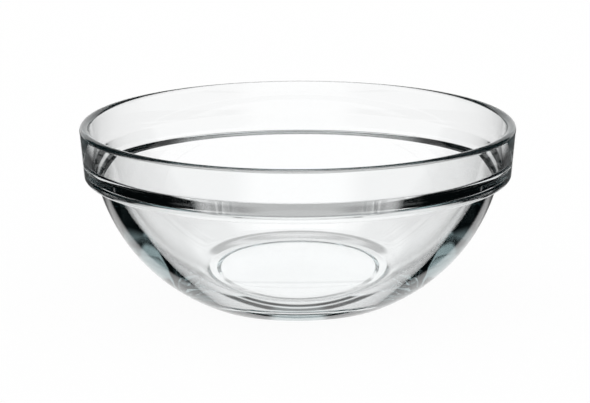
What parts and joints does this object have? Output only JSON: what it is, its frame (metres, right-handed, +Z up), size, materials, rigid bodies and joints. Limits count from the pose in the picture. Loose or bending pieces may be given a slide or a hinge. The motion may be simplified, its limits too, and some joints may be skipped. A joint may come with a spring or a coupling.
{
  "type": "prep bowl",
  "caption": "Round stackable prep bowl of clear pressed glass, with a rounded lip, an upright collar, a stacking shoulder with a sloping ledge inside, a curved body and a recessed foot.",
  "frame": {"origin": "centre of the foot's flat ring, on the table", "axes": "+Z up along the bowl's axis; the bowl is round, so X and Y are free"},
  "size_m": [0.2, 0.2, 0.0825],
  "materials": {
    "clear_glass": "clear, polished"
  },
  "bodies": {
    "root": {"bowl": "clear_glass"}
  },
  "joints": []
}
